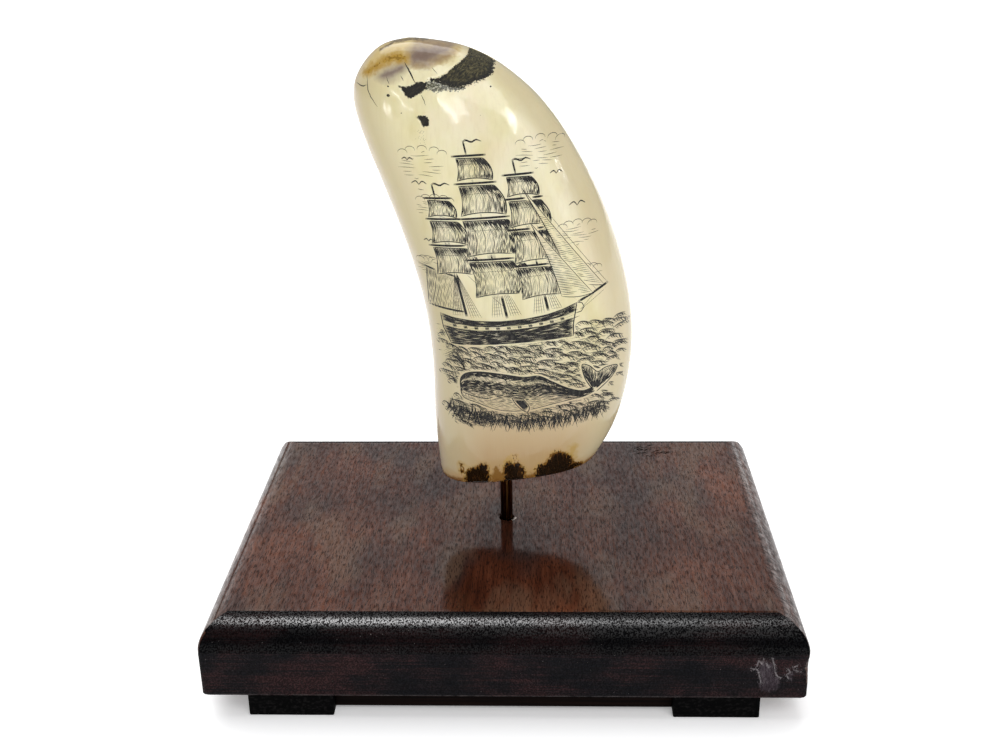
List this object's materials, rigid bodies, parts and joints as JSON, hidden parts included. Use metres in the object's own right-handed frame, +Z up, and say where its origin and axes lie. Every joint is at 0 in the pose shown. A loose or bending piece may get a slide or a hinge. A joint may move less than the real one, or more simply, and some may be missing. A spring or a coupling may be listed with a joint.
{
  "type": "scrimshaw whale tooth on a stand",
  "caption": "Polished whale tooth with an engraved face, held upright by a thin brass rod over a stained hardwood board with a rounded-over edge and low block feet.",
  "frame": {"origin": "on the table surface, on the rod's axis, at the middle of the board", "axes": "+Z up along the rod, +X to the right along the board's long side, +Y to the back, so the engraved face looks towards -Y"},
  "size_m": [0.14, 0.1026, 0.1482],
  "materials": {
    "tooth_ivory": "polished ivory, glossy, with brown stains at the root and a dark rough patch near the tip",
    "aged_brass": "brass aged to brown, drawn round rod",
    "stained_hardwood": "dark red-brown stain under a glossy lacquer, open pores along the grain",
    "blackened_wood": "black stained blocks, satin",
    "engraving_ink": "black ink rubbed into the engraved lines, used by the visual model only"
  },
  "bodies": {
    "root": {"whale_tooth": "tooth_ivory", "brass_rod": "aged_brass", "base_board": "stained_hardwood", "foot_front_left": "blackened_wood", "foot_front_right": "blackened_wood", "foot_back_left": "blackened_wood", "foot_back_right": "blackened_wood", "rail_front": "stained_hardwood", "rail_back": "stained_hardwood"}
  },
  "joints": []
}
